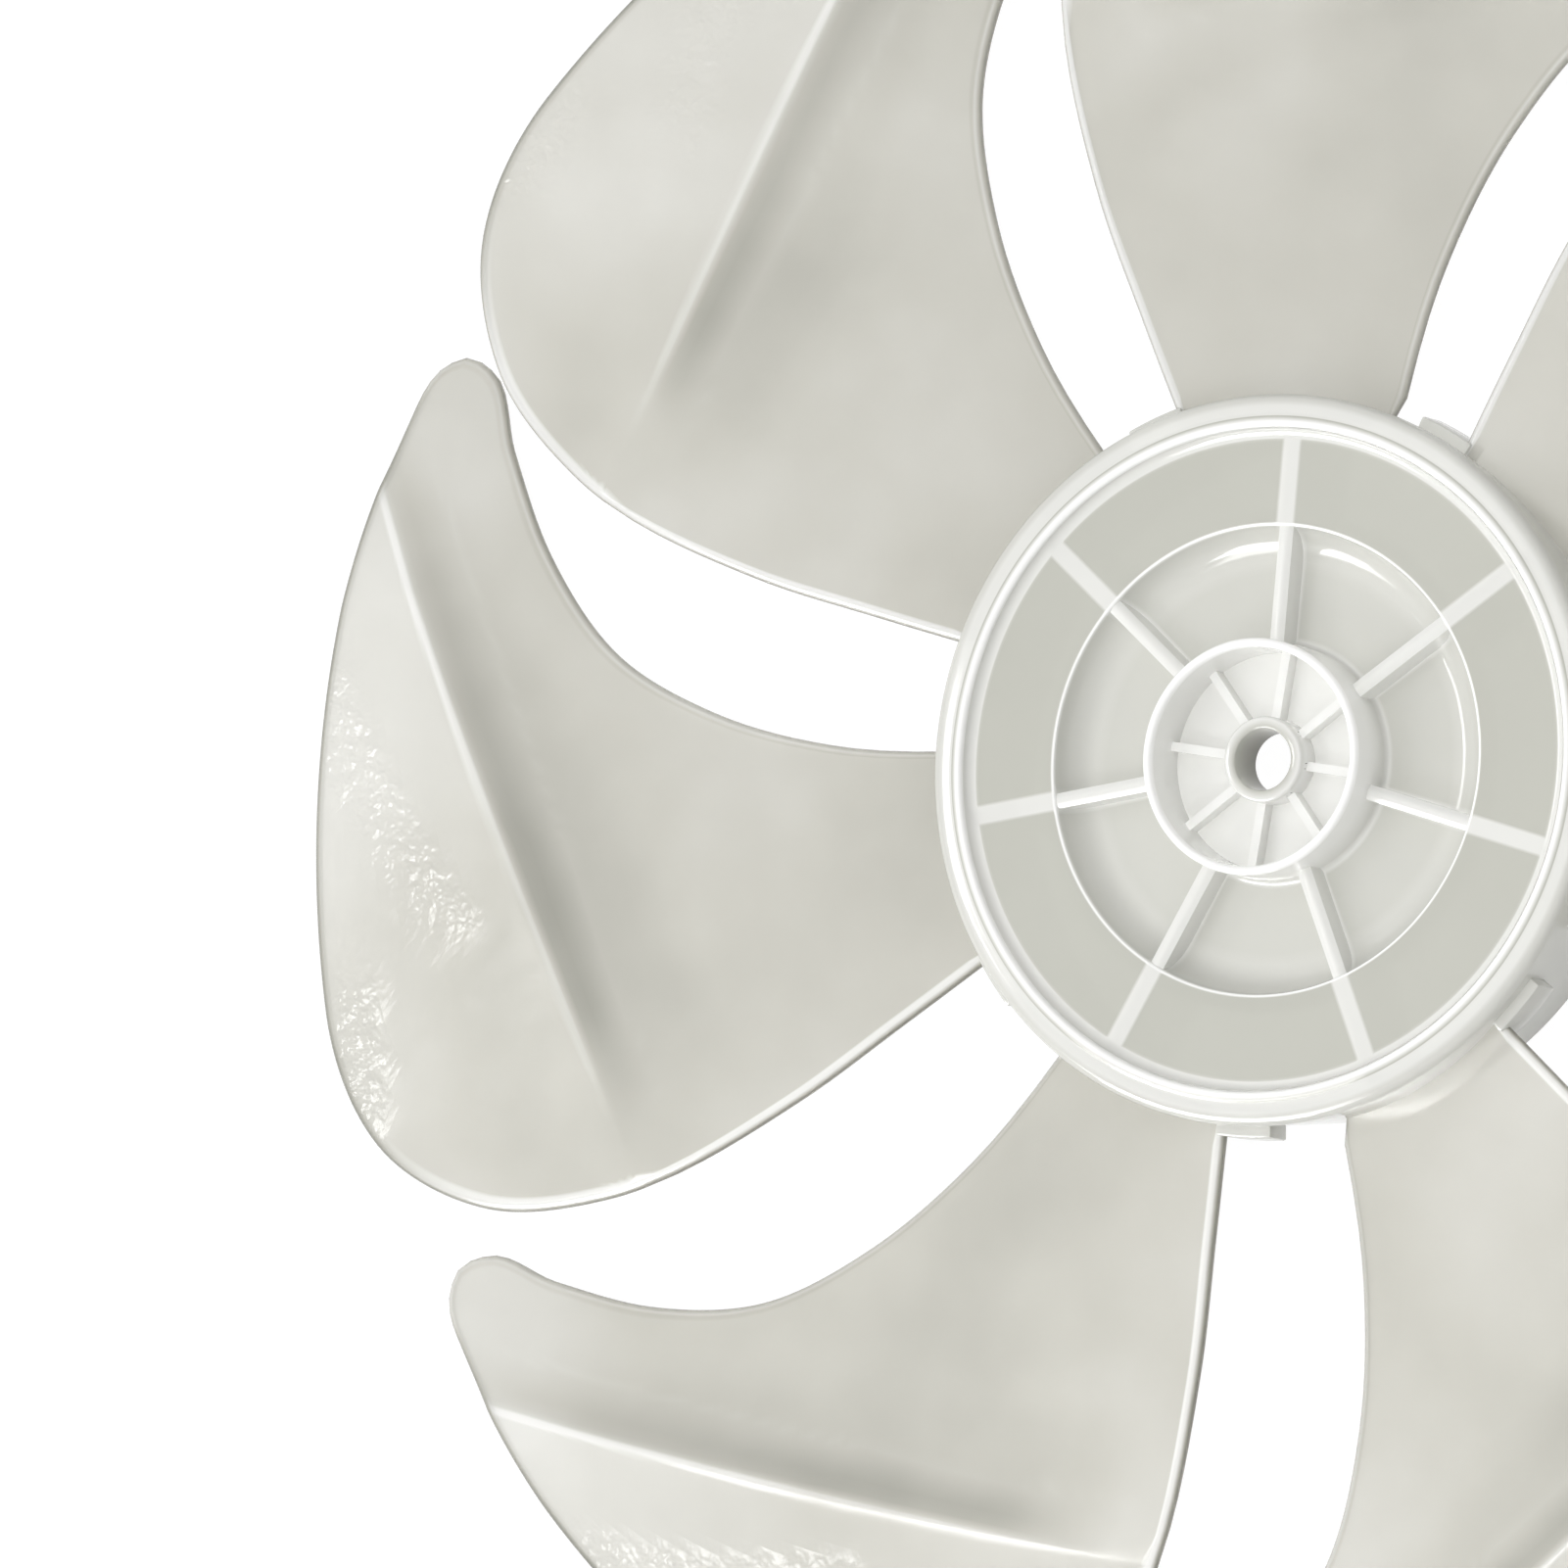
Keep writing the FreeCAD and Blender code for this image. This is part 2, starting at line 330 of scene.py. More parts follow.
def face_tone(fold, y, r, inset, bulge):
    low = ease(y, *LOW_END)
    # Painted highlight along the crest of the fold.
    crest = between(CREST_HIGHLIGHT, low) * (1 - ease(abs(fold - CREST_AT), *CREST_FADE))
    # Painted shade on the ramp behind the crest.
    ramp = between(RAMP_SHADE, low) * stretch(fold, *RAMP_SPAN)
    # The outer panel is painted lighter, as painted light.
    panel = between(PANEL_LIGHT, low) * ease(-fold, *PANEL_FADE)
    # A soft wedge of painted shade beside the ramp, as in a shaded valley.
    wide = WEDGE_W + WEDGE_SPREAD * (y - WEDGE_FROM)
    wedge = WEDGE_SHADE * stretch(fold, *WEDGE_START, wide - WEDGE_SOFT, wide + WEDGE_SOFT)
    # A thin painted glint line along the ramp.
    glint_line = GLINT_LINE_TONE * exp(-((fold - GLINT_LINE_AT) / GLINT_LINE_W) ** 2)
    # Painted highlight along the bulging edge, and a painted dark line along the other edges.
    white = bulge * (1 - ease(inset, *WHITE_EDGE))
    line = DARK_EDGE_TONE * (1 - bulge) * (1 - ease(inset, *DARK_EDGE))
    tip = TIP_TONE * ease(r, *TIP_FADE) + HORN_TONE * ease(-y, *HORN_FADE)
    return stretch(y, *FOLD_SPAN) * (crest + ramp + wedge + glint_line + panel) + white + line + tip


print("crest tone along the ridge:",
      [round(face_tone(CREST_AT, y, 100.0, 9.0, 0.0), 2) for y in (-60, -40, -20, 0, 20)])

# %% [markdown]
# The rim has a painted highlight band on its upper part and a painted dark line where it turns
# under. The band is strongest on the bulging edge and missing at the tip. The crumpled patches lie
# on the outer panel only: a slanting streak, and a short one near the round corner.

# %% painted light and shade of the rim, and crumpled patches
BAND_TONE, BULGE_BAND, BAND_TURN = 0.4, 0.6, (0.0, 0.1)
LINE_TONE, TIP_LINE, BULGE_LINE = 0.75, 0.15, 1.05
LINE_TURN, TIP_LINE_SHIFT, LINE_SOFT = 0.18, 0.14, 0.14
STREAK_FROM, STREAK_LENGTH, STREAK_X = -38.0, 38.0, 140.0
STREAK_SLANT, STREAK_BEND = 17.0, 1.4
STREAK_SPAN, STREAK_FADE = (-46.0, -36.0, -5.0, 5.0), (2.0, 7.0)
CORNER_X, CORNER_SPAN, CORNER_FADE = 139.0, (0.0, 8.0, 20.0, 28.0), (2.0, 5.0)
PATCH_FROM_RIDGE = (0.5, 2.0)


def rim_tone(turn, bulge, tip):
    # Painted highlight band on the upper part of the rim.
    band = (BAND_TONE * (1 - tip) + BULGE_BAND * bulge) * ease(turn, *BAND_TURN)
    # Painted dark line where the rim turns under.
    start = LINE_TURN - TIP_LINE_SHIFT * tip
    dark = LINE_TONE + TIP_LINE * tip + BULGE_LINE * bulge
    return band - dark * ease(turn, start, start + LINE_SOFT)


def patch_mask(x, y):
    t = min(max((y - STREAK_FROM) / STREAK_LENGTH, 0.0), 1.0)
    off = x - (STREAK_X - STREAK_SLANT * t ** STREAK_BEND)
    streak = stretch(y, *STREAK_SPAN) * (1 - ease(abs(off), *STREAK_FADE))
    corner = stretch(y, *CORNER_SPAN) * (1 - ease(abs(x - CORNER_X), *CORNER_FADE))
    return (streak + corner) * ease(x - ridge_x(y), *PATCH_FROM_RIDGE)


print("rim tones on the bulging edge:", [round(rim_tone(i / 8, 1.0, 0.0), 2) for i in range(1, 8)])

# %% [markdown]
# ## One blade
# The blade starts as a flat grid. Every point of the grid is then moved to its column and row
# on the blade, and the seam and the two narrow ends are merged, which leaves a closed skin.

# %% one blade
MERGE = 0.002


def blade_point(column, row):
    kind, edge, inset, share = row
    y = levels[column]
    foot, mark = edge[column]
    if kind == "rim":
        spot = foot + mark.to_2d() * RIM_R * sin(pi * inset)
        z = face_z(foot.x, foot.y) - RIM_R * (1 - cos(pi * inset))
        return Vector((spot.x, spot.y, z)), rim_tone(inset, mark.z, mark.w)
    crest = Vector((ridge_x(y), y))
    near = inset / max((crest - foot).length, NARROW)
    spot = foot.lerp(crest, near + share * (1 - near))
    z = face_z(spot.x, spot.y)
    if kind == "under":
        return Vector((spot.x, spot.y, z - BLADE_T)), 0.0
    fold = ridge_x(spot.y) - spot.x
    painted_shading = face_tone(fold, spot.y, spot.length, (spot - foot).length, mark.z)
    return Vector((spot.x, spot.y, z)), painted_shading


def new_skin():
    bm = bmesh.new()
    return bm, bm.verts.layers.float.new("painted_shading"), bm.verts.layers.float.new("wrinkle")


def grid_place(v, columns, rows):
    return round((v.co.x + 1) / 2 * columns), round((v.co.y + 1) / 2 * rows)


def close_up(bm, name):
    bmesh.ops.remove_doubles(bm, verts=bm.verts, dist=MERGE)
    bmesh.ops.dissolve_degenerate(bm, edges=bm.edges, dist=MERGE / 2)
    bmesh.ops.recalc_face_normals(bm, faces=bm.faces)
    open_edges = sum(1 for e in bm.edges if len(e.link_faces) != 2)
    print(name, "has", len(bm.faces), "faces, open edges", open_edges)


def build_blade():
    columns, rows = len(levels) - 1, len(blade_rows) - 1
    bm, painted_shading, wrinkle = new_skin()
    bmesh.ops.create_grid(bm, x_segments=columns, y_segments=rows, size=1.0)
    for v in bm.verts:
        column, row = grid_place(v, columns, rows)
        v.co, v[painted_shading] = blade_point(column, blade_rows[row])
        v[wrinkle] = patch_mask(v.co.x, v.co.y)
    close_up(bm, "one blade")
    return bm


blade = build_blade()

# %% [markdown]
# ## Seven blades
# The blades of a rotor are all alike, so the finished blade is copied and turned about the
# shaft, and the seven copies are kept together as one piece.

# %% seven blades
SHARP = radians(38)


def finish_piece(bm, name):
    bmesh.ops.scale(bm, vec=(MM, MM, MM), verts=bm.verts)
    for face in bm.faces:
        face.smooth = True
    for edge in bm.edges:
        edge.smooth = len(edge.link_faces) == 2 and edge.calc_face_angle(0) < SHARP
    mesh = bpy.data.meshes.new(name)
    bm.to_mesh(mesh)
    bm.free()
    piece = bpy.data.objects.new(name, mesh)
    scene.collection.objects.link(piece)
    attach(piece, "root")
    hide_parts("fan_blade")
    print(name, "triangles:", sum(len(p.vertices) - 2 for p in mesh.polygons))
    return piece


def repeat_round(bm, count):
    first = list(bm.verts) + list(bm.edges) + list(bm.faces)
    for i in range(1, count):
        copy = bmesh.ops.duplicate(bm, geom=first)["geom"]
        verts = [g for g in copy if isinstance(g, bmesh.types.BMVert)]
        turn = Matrix.Rotation(i * 2 * pi / count, 3, "Z")
        bmesh.ops.rotate(bm, verts=verts, cent=(0, 0, 0), matrix=turn)


repeat_round(blade, BLADES)
blades = finish_piece(blade, "rotor_blades")

# %% [markdown]
# ## Hub sizes and painted shading
# The hub is turned from one closed section: skirt, rolled lip, flat ring, sunk bowl, thin collar,
# cup and shaft boss in front, and behind them the socket tube, the underside of the front skin and
# the inside of the skirt. The sizes are the model's own, and the small rounds at the corners,
# which catch the light, are added here. Every part of the section also has a painted shading. The
# crest of the lip, the edge of the bowl and the top of the collar get a painted highlight and are
# nearly white. The groove beside the crest and the wall of the bore get painted shade. The skirt,
# flange, bowl, collar and cup are painted paler, and inside the bowl and the cup this offsets the
# shade there. The ring is the plain smoke colour.

# %% hub sizes and painted shading
HUB_R, SKIRT_R, HUB_H = 47.5, 45.5, 22.5
WALL, WEB = 2.4, 2.2
CREST_R, LIP_H = 43.7, 1.7
FLOOR = HUB_H - LIP_H
BOWL_R, BOWL_DEPTH = 30.4, 4.2
BOWL_FLOOR = FLOOR - BOWL_DEPTH
CORNER_R = BOWL_R - BOWL_DEPTH
COLLAR_R, COLLAR_WALL, COLLAR_TOP = 15.4, 1.2, 25.5
COLLAR_IN = COLLAR_R - COLLAR_WALL
CUP_FLOOR = 17.4
CUP_UNDER = CUP_FLOOR - WEB
BORE_R, BOSS_R, BOSS_TOP = 4.0, 5.6, 21.5
SOCKET_R, TUBE_R, SOCKET_REAR = 5.8, 8.2, 11.5
SLOT_TOP = SOCKET_REAR + 2.5
SLOT_ROOF = SLOT_TOP + 0.3
RIB_REAR, RIB_CUT_R = 5.0, 9.6
CUP_RIB_TOP = CUP_FLOOR + 2.2
LIP_ROUND, CREST_ROUND, FILLET = 1.2, 0.6, 1.2
FOOT_ROUND, COLLAR_ROUND, BOSS_ROUND, BORE_ROUND = 0.8, COLLAR_WALL / 2, 0.4, 0.3
CHAMFER = 0.4

# Painted shading of each part: painted highlights on the crest, the bowl edge and the collar top,
# painted shade in the groove and the bore, and paler paint in the bowl, collar and cup against the
# shade there.
HUB_PAINTED_SHADING = {
    "skirt foot": 0.1, "skirt": 0.3, "flange": 0.52, "groove": -0.1, "crest": 1.0,
    "crest foot": 0.9, "fillet": 0.55, "ring edge": 0.1, "ring": 0.0, "bowl edge": 1.0,
    "bowl wall": 0.3, "bowl floor": 0.22, "collar foot": 0.5, "collar wall": 0.8,
    "collar top": 1.0, "collar inside": 0.66, "cup floor": 0.7, "boss wall": 0.85,
    "boss edge": 0.6, "bore edge": 0.1, "bore": -0.7, "socket": 0.0, "socket rear": 0.2,
    "rear": 0.0,
}
print("hub", 2 * HUB_R, "mm across, tones:", len(HUB_PAINTED_SHADING))

# %% [markdown]
# ## Hub section
# The section is a list of points as (radius, height), from the foot of the skirt over the lip and
# the front to the bore, and back along the rear. Each run of points is named, and the name picks
# its painted shading and says whether ribs or the slot cross it there.

# %% hub section
section = []


def skirt_r(z):
    return SKIRT_R + (HUB_R - SKIRT_R) * z / FLOOR


def bend(r, z, radius, start, end, steps, squash=1.0):
    turns = [radians(start + (end - start) * i / steps) for i in range(steps + 1)]
    return [(r + radius * cos(a), z + squash * radius * sin(a)) for a in turns]


def run(a, b, steps):
    shares = [i / steps for i in range(steps + 1)]
    return [(a[0] + (b[0] - a[0]) * t, a[1] + (b[1] - a[1]) * t) for t in shares]


def add(kind, name, points):
    section.extend((kind, p, HUB_PAINTED_SHADING[name]) for p in points)


top_r = skirt_r(FLOOR - WEB) - WALL
collar_mid, collar_crown = COLLAR_R - COLLAR_ROUND, COLLAR_TOP - COLLAR_ROUND
foot_r, foot_z = COLLAR_R + FOOT_ROUND, BOWL_FLOOR + FOOT_ROUND

add("plain", "skirt foot", run((SKIRT_R - CHAMFER, 0), (SKIRT_R, CHAMFER), 2))
add("plain", "skirt", run((skirt_r(7), 7), (HUB_R, FLOOR - 0.2), 3))
add("plain", "skirt", bend(HUB_R - LIP_ROUND, FLOOR, LIP_ROUND, 0, 80, 6, 1.1))
add("plain", "flange", run((HUB_R - 1.6, HUB_H - 0.3), (CREST_R + 0.9, HUB_H - 0.25), 3))
add("plain", "groove", [(CREST_R + 0.8, HUB_H - 0.2)])
add("plain", "crest", bend(CREST_R, HUB_H - CREST_ROUND, CREST_ROUND, 80, 180, 6))
add("plain", "crest foot", [(CREST_R - 0.65, HUB_H - 0.8)])
add("band", "fillet", bend(CREST_R - 0.7 - FILLET, FLOOR + FILLET, FILLET, 0, -90, 6))
add("band", "ring edge", [(CREST_R - 2.1, FLOOR)])
add("band", "ring", run((CREST_R - 2.4, FLOOR), (BOWL_R + 0.5, FLOOR), 6))
add("plain", "bowl edge", [(BOWL_R + 0.3, FLOOR), (BOWL_R + 0.1, FLOOR - 0.1)])
add("bowl", "bowl wall", bend(CORNER_R, FLOOR, BOWL_DEPTH, -8, -90, 12))
add("bowl", "bowl floor", run((CORNER_R - 1.5, BOWL_FLOOR), (COLLAR_R + 1.0, BOWL_FLOOR), 4))
add("bowl", "collar foot", bend(foot_r, foot_z, FOOT_ROUND, -110, -180, 4))
add("plain", "collar wall", [(COLLAR_R, FLOOR + 1.0), (COLLAR_R, COLLAR_TOP - 0.9)])
add("plain", "collar top", bend(collar_mid, collar_crown, COLLAR_ROUND, 0, 180, 8))
add("plain", "collar inside", [(COLLAR_IN, COLLAR_TOP - 1.1), (COLLAR_IN, CUP_RIB_TOP + 1.2)])
add("cup", "cup floor", run((COLLAR_IN, CUP_FLOOR), (BOSS_R, CUP_FLOOR), 4))
add("plain", "boss wall", [(BOSS_R, CUP_RIB_TOP + 0.6)])
add("plain", "boss edge", bend(BOSS_R - BOSS_ROUND, BOSS_TOP - BOSS_ROUND, BOSS_ROUND, 0, 90, 3))
add("plain", "bore edge", bend(BORE_R + BORE_ROUND, BOSS_TOP - BORE_ROUND, BORE_ROUND, 90, 180, 3))
add("plain", "bore", [(BORE_R, CUP_UNDER)])
add("plain", "socket", [(SOCKET_R, CUP_UNDER), (SOCKET_R, SLOT_ROOF)])
add("slot", "socket rear", [(SOCKET_R + CHAMFER, SOCKET_REAR), (TUBE_R, SOCKET_REAR)])
add("plain", "rear", [(TUBE_R, SLOT_ROOF)])
add("rib", "rear", [(TUBE_R, CUP_UNDER), (RIB_CUT_R, CUP_UNDER)])
add("rib", "rear", [(COLLAR_IN, CUP_UNDER), (COLLAR_IN, BOWL_FLOOR - WEB)])
add("rib", "rear", run((20.0, BOWL_FLOOR - WEB), (CORNER_R + WEB, BOWL_FLOOR - WEB), 2))
add("rib", "rear", run((BOWL_R + WEB, FLOOR - WEB), (top_r, FLOOR - WEB), 3))
add("plain", "skirt foot", [(SKIRT_R - WALL, 0.0)])
print("hub section points:", len(section))

# %% [markdown]
# ## Hub skin
# A spin would make everything round, but the seven ribs behind the front, their tops that stand
# across the bowl, the short ribs in the cup and the slot for the drive pin are not. So the hub is
# one grid wrapped round the shaft, and where a row crosses ribs its columns are gathered to the
# ribs' straight sides. On the flat ring the ribs lie behind the skin, and pale bands with soft
# edges are painted over them as painted light. In the bowl the rib's pale paint runs down its
# sides and onto the first point beside them, painted light in place of the shade on those sides.
# The short ribs in the cup are painted pale as well. Ribs and front are one skin, with no walls
# inside the clear plastic.

# %% hub skin
COLUMNS = 280
CORE = 2
BAND_EDGE = 0.45
RIB_CROWN = 0.4
RIB_CUT_SLOPE = 1.6
TOUCH = 0.01
# Number of ribs, turn of the first one, half width, level (None: behind the skin) and the painted
# light on the rib.
KINDS = {
    "rib": (BLADES, 0.0, 1.2, RIB_REAR, 0.3),
    "band": (BLADES, 0.0, 1.0, None, 0.54),
    "bowl": (BLADES, 0.0, 1.0, FLOOR - 0.2, 0.6),
    "cup": (8, radians(8), 0.6, CUP_RIB_TOP, 0.8),
    "slot": (2, STEP / 2, 2.1, SLOT_TOP, 0.0),
}


def rib_point(kind, r, z, level, off):
    # A point on a rib: crowned tops in the bowl, and the inner corners cut back at the rear.
    if level is not None:
        z = level
    if kind == "bowl":
        z -= RIB_CROWN * (off / CORE) ** 2
    if kind == "rib":
        z += RIB_CUT_SLOPE * max(0.0, RIB_CUT_R - r)
        if r >= top_r - TOUCH:
            r = skirt_r(level) - WALL
    return r, z


def hub_point(column, row):
    kind, (r, z), painted_shading = row
    if kind == "plain":
        return r, 2 * pi * column / COLUMNS, z, painted_shading
    count, first, half_width, level, rib_tone = KINDS[kind]
    sector = COLUMNS // count
    step = column - round(first / (2 * pi) * COLUMNS)
    turn = round(step / sector)
    off = step - turn * sector
    edge = asin(half_width / r)
    # Points on a rib get the rib's pale paint, a band of painted light.
    if abs(off) <= CORE:
        angle, painted_shading = edge * off / CORE, rib_tone
        r, z = rib_point(kind, r, z, level, off)
    else:
        if level is None:
            edge += BAND_EDGE / r
        # Painted light: in the bowl the first point beside a rib is painted as pale as the rib,
        # hiding the shade of its side.
        if kind == "bowl" and abs(off) == CORE + 1:
            painted_shading = rib_tone
        share = (abs(off) - CORE - 1) / (sector / 2 - CORE - 1)
        angle = edge + share * (pi / count - edge)
        angle = angle if off >= 0 else -angle
    return r, first + turn * 2 * pi / count + angle, z, painted_shading


def build_hub():
    rows = section + section[:1]
    bm, painted_shading, _ = new_skin()
    bmesh.ops.create_grid(bm, x_segments=COLUMNS, y_segments=len(rows) - 1, size=1.0)
    for v in bm.verts:
        column, row = grid_place(v, COLUMNS, len(rows) - 1)
        r, angle, z, v[painted_shading] = hub_point(column % COLUMNS, rows[row])
        v.co = (r * cos(angle), r * sin(angle), z)
    close_up(bm, "hub")
    return bm


hub = build_hub()

# %% [markdown]
# ## Lugs
# A small stepped lug stands on the skirt beside each blade root. Each starts as a cube, is cut
# into slices so that it can follow the round skirt, and gets a small bevel.

# %% lugs
LUG_LOW, LUG_TOP = 13.5, 18.5
LUG_OUT = HUB_R + 1.3
LUG_FROM, LUG_SPAN = ROOT_LEAD * STEP - radians(1), radians(9.5)
LUG_SLICES, LUG_BEVEL = 6, 0.35


def build_lugs():
    bm, painted_shading, _ = new_skin()
    bmesh.ops.create_cube(bm, size=1.0)
    for i in range(1, LUG_SLICES):
        cut = list(bm.verts) + list(bm.edges) + list(bm.faces)
        bmesh.ops.bisect_plane(bm, geom=cut, plane_co=(0, i / LUG_SLICES - 0.5, 0),
                               plane_no=(0, 1, 0))
    for v in bm.verts:
        r = ROOT_R + (v.co.x + 0.5) * (LUG_OUT - ROOT_R)
        angle = LUG_FROM + (v.co.y + 0.5) * LUG_SPAN
        z = LUG_LOW + (v.co.z + 0.5) * (LUG_TOP - LUG_LOW)
        v.co = (r * cos(angle), r * sin(angle), z)
    edges = [e for e in bm.edges if e.calc_face_angle(0) > SHARP]
    bmesh.ops.bevel(bm, geom=edges, offset=LUG_BEVEL, offset_type="OFFSET", segments=2,
                    profile=0.5, affect="EDGES", material=-1, clamp_overlap=True)
    for v in bm.verts:
        v[painted_shading] = HUB_PAINTED_SHADING["skirt"]
    repeat_round(bm, BLADES)
    return bm


lugs = build_lugs()
spare = bpy.data.meshes.new("lugs")
lugs.to_mesh(spare)
lugs.free()
hub.from_mesh(spare)
bpy.data.meshes.remove(spare)
hub_piece = finish_piece(hub, "rotor_hub")

# %% [markdown]
# ## Helpers for materials
# A material is a tree of nodes. These helpers make a node, a sum or a mix of colours, and feed
# each socket either a fixed value or the output of another node.

# %% helpers for materials
MIX_ONE, MIX_TWO, MIX_OUT = 6, 7, 2


def node(tree, kind, **values):
    made = tree.nodes.new(kind)
    for key, value in values.items():
        setattr(made, key, value)
    return made


def feed(tree, value, socket):
    if isinstance(value, bpy.types.NodeSocket):
        tree.links.new(value, socket)
    else:
        socket.default_value = value


def calc(tree, operation, one, two):
    made = node(tree, "ShaderNodeMath", operation=operation)
    feed(tree, one, made.inputs[0])
    feed(tree, two, made.inputs[1])
    return made.outputs[0]


def mix(tree, factor, one, two):
    # A Mix node keeps its colour sockets behind those for numbers and vectors.
    made = node(tree, "ShaderNodeMix", data_type="RGBA")
    feed(tree, factor, made.inputs[0])
    feed(tree, one, made.inputs[MIX_ONE])
    feed(tree, two, made.inputs[MIX_TWO])
    return made.outputs[MIX_OUT]


def new_group(name, inputs, outputs):
    group = bpy.data.node_groups.new(name, "ShaderNodeTree")
    for direction, sockets in (("INPUT", inputs), ("OUTPUT", outputs)):
        for label, kind in sockets:
            group.interface.new_socket(label, in_out=direction, socket_type=kind)
    return group, node(group, "NodeGroupInput").outputs, node(group, "NodeGroupOutput").inputs


print("colour sockets of a Mix node:", MIX_ONE, MIX_TWO)

# %% [markdown]
# ## Smoke plastic
# The moulding is a clear resin with a little grey-green smoke in it, slightly milky, so part of
# the light goes through and part is scattered inside. The painted shading kept at every point of
# the skin mixes the colour towards a pale colour for painted highlights and painted light, and
# towards a deep colour for painted shade. A soft cloudiness from a noise texture varies it. A
# faint haze varies the gloss, a slow wave bends the reflections, and a fine crumple roughens the
# patches near the tips. Both materials share all this as a group.

# %% plastic group
CLOUD_NOISE = (28.0, 3.0, 0.5)
HAZE_NOISE, HAZE = (160.0, 2.0, 0.5), 0.12
CRUMPLE_NOISE, CRUMPLE = (400.0, 2.0, 0.55), 5.0
WAVE_NOISE, WAVE = (60.0, 2.0, 0.5), 1.5

cloudy, given, result = new_group(
    "resin_and_painted_light",
    [("Deep", "NodeSocketColor"), ("Smoke", "NodeSocketColor"), ("Pale", "NodeSocketColor"),
     ("Clouds", "NodeSocketFloat"), ("Base Roughness", "NodeSocketFloat")],
    [("Color", "NodeSocketColor"), ("Roughness", "NodeSocketFloat"),
     ("Height", "NodeSocketFloat")])
coords = node(cloudy, "ShaderNodeTexCoord").outputs["Object"]
tone_at = node(cloudy, "ShaderNodeAttribute", attribute_name="painted_shading").outputs["Fac"]
wrinkle_at = node(cloudy, "ShaderNodeAttribute", attribute_name="wrinkle").outputs["Fac"]


def noise(scale, detail, rough):
    made = node(cloudy, "ShaderNodeTexNoise")
    cloudy.links.new(coords, made.inputs["Vector"])
    made.inputs["Scale"].default_value = scale
    made.inputs["Detail"].default_value = detail
    made.inputs["Roughness"].default_value = rough
    return made.outputs["Fac"]


def clamped(value):
    made = node(cloudy, "ShaderNodeClamp")
    cloudy.links.new(value, made.inputs["Value"])
    return made.outputs[0]


clouds = calc(cloudy, "SUBTRACT", noise(*CLOUD_NOISE), 0.5)
# The painted shading, with random clouds added, mixes the smoke colour towards Pale for painted
# light and towards Deep for painted shade.
shade = calc(cloudy, "ADD", tone_at, calc(cloudy, "MULTIPLY", clouds, given["Clouds"]))
paler = mix(cloudy, clamped(shade), given["Smoke"], given["Pale"])
depth = clamped(calc(cloudy, "MULTIPLY", shade, -1.0))
cloudy.links.new(mix(cloudy, depth, paler, given["Deep"]), result["Color"])
haze = calc(cloudy, "MULTIPLY", calc(cloudy, "SUBTRACT", noise(*HAZE_NOISE), 0.5), HAZE)
cloudy.links.new(calc(cloudy, "ADD", given["Base Roughness"], haze), result["Roughness"])
crumple = calc(cloudy, "MULTIPLY", wrinkle_at, CRUMPLE)
fine = calc(cloudy, "MULTIPLY", noise(*CRUMPLE_NOISE), crumple)
wavy = calc(cloudy, "MULTIPLY", noise(*WAVE_NOISE), WAVE)
cloudy.links.new(calc(cloudy, "ADD", fine, wavy), result["Height"])
print("cloudy resin group nodes:", len(cloudy.nodes))

# %% [markdown]
# The blades let more light through than the hub, whose walls, ribs and web lie over each other
# and look milkier. So each gets its own material with the same group. Clear walls hardly shade
# what is behind them, but a renderer treats bent light as blocked and would fill the bowl and
# the cup with shadow. So the rays that look for a lamp go mostly straight through the hub.

# %% plastic materials
BUMP_STRENGTH, BUMP_DEPTH = 0.35, 0.0002
PLASTIC_IOR = 1.5
LAMP_LIGHT_THROUGH = 0.8


def smoke(piece, name, clear, **values):
    material = bpy.data.materials.new(name)
    material.use_nodes = True
    tree = material.node_tree
    shader = tree.nodes["Principled BSDF"]
    resin = node(tree, "ShaderNodeGroup", node_tree=cloudy)
    for label, value in values.items():
        resin.inputs[label.replace("_", " ")].default_value = value
    tree.links.new(resin.outputs["Color"], shader.inputs["Base Color"])
    tree.links.new(resin.outputs["Roughness"], shader.inputs["Roughness"])
    bump = node(tree, "ShaderNodeBump")
    bump.inputs["Strength"].default_value = BUMP_STRENGTH
    bump.inputs["Distance"].default_value = BUMP_DEPTH
    tree.links.new(resin.outputs["Height"], bump.inputs["Height"])
    tree.links.new(bump.outputs["Normal"], shader.inputs["Normal"])
    shader.inputs["Transmission Weight"].default_value = clear
    shader.inputs["IOR"].default_value = PLASTIC_IOR
    piece.data.materials.append(material)
    return tree


def let_light_through(tree, share):
    lamp_ray = node(tree, "ShaderNodeLightPath").outputs["Is Shadow Ray"]
    passing = node(tree, "ShaderNodeMixShader")
    tree.links.new(calc(tree, "MULTIPLY", lamp_ray, share), passing.inputs[0])
    tree.links.new(tree.nodes["Principled BSDF"].outputs["BSDF"], passing.inputs[1])
    tree.links.new(node(tree, "ShaderNodeBsdfTransparent").outputs["BSDF"], passing.inputs[2])
    tree.links.new(passing.outputs["Shader"], tree.nodes["Material Output"].inputs["Surface"])


# Pale is the colour of the painted highlights and painted light, Deep that of the painted shade.
smoke(blades, "blade_plastic", 0.5, Deep=(0.25, 0.25, 0.21, 1), Smoke=(0.625, 0.615, 0.56, 1),
      Pale=(0.97, 0.97, 0.96, 1), Clouds=0.8, Base_Roughness=0.13)
hub_tree = smoke(hub_piece, "hub_plastic", 0.2, Deep=(0.22, 0.21, 0.18, 1),
                 Smoke=(0.50, 0.50, 0.45, 1), Pale=(0.98, 0.98, 0.97, 1), Clouds=0.1,
                 Base_Roughness=0.08)
let_light_through(hub_tree, LAMP_LIGHT_THROUGH)
print("materials:", [m.name for m in bpy.data.materials])

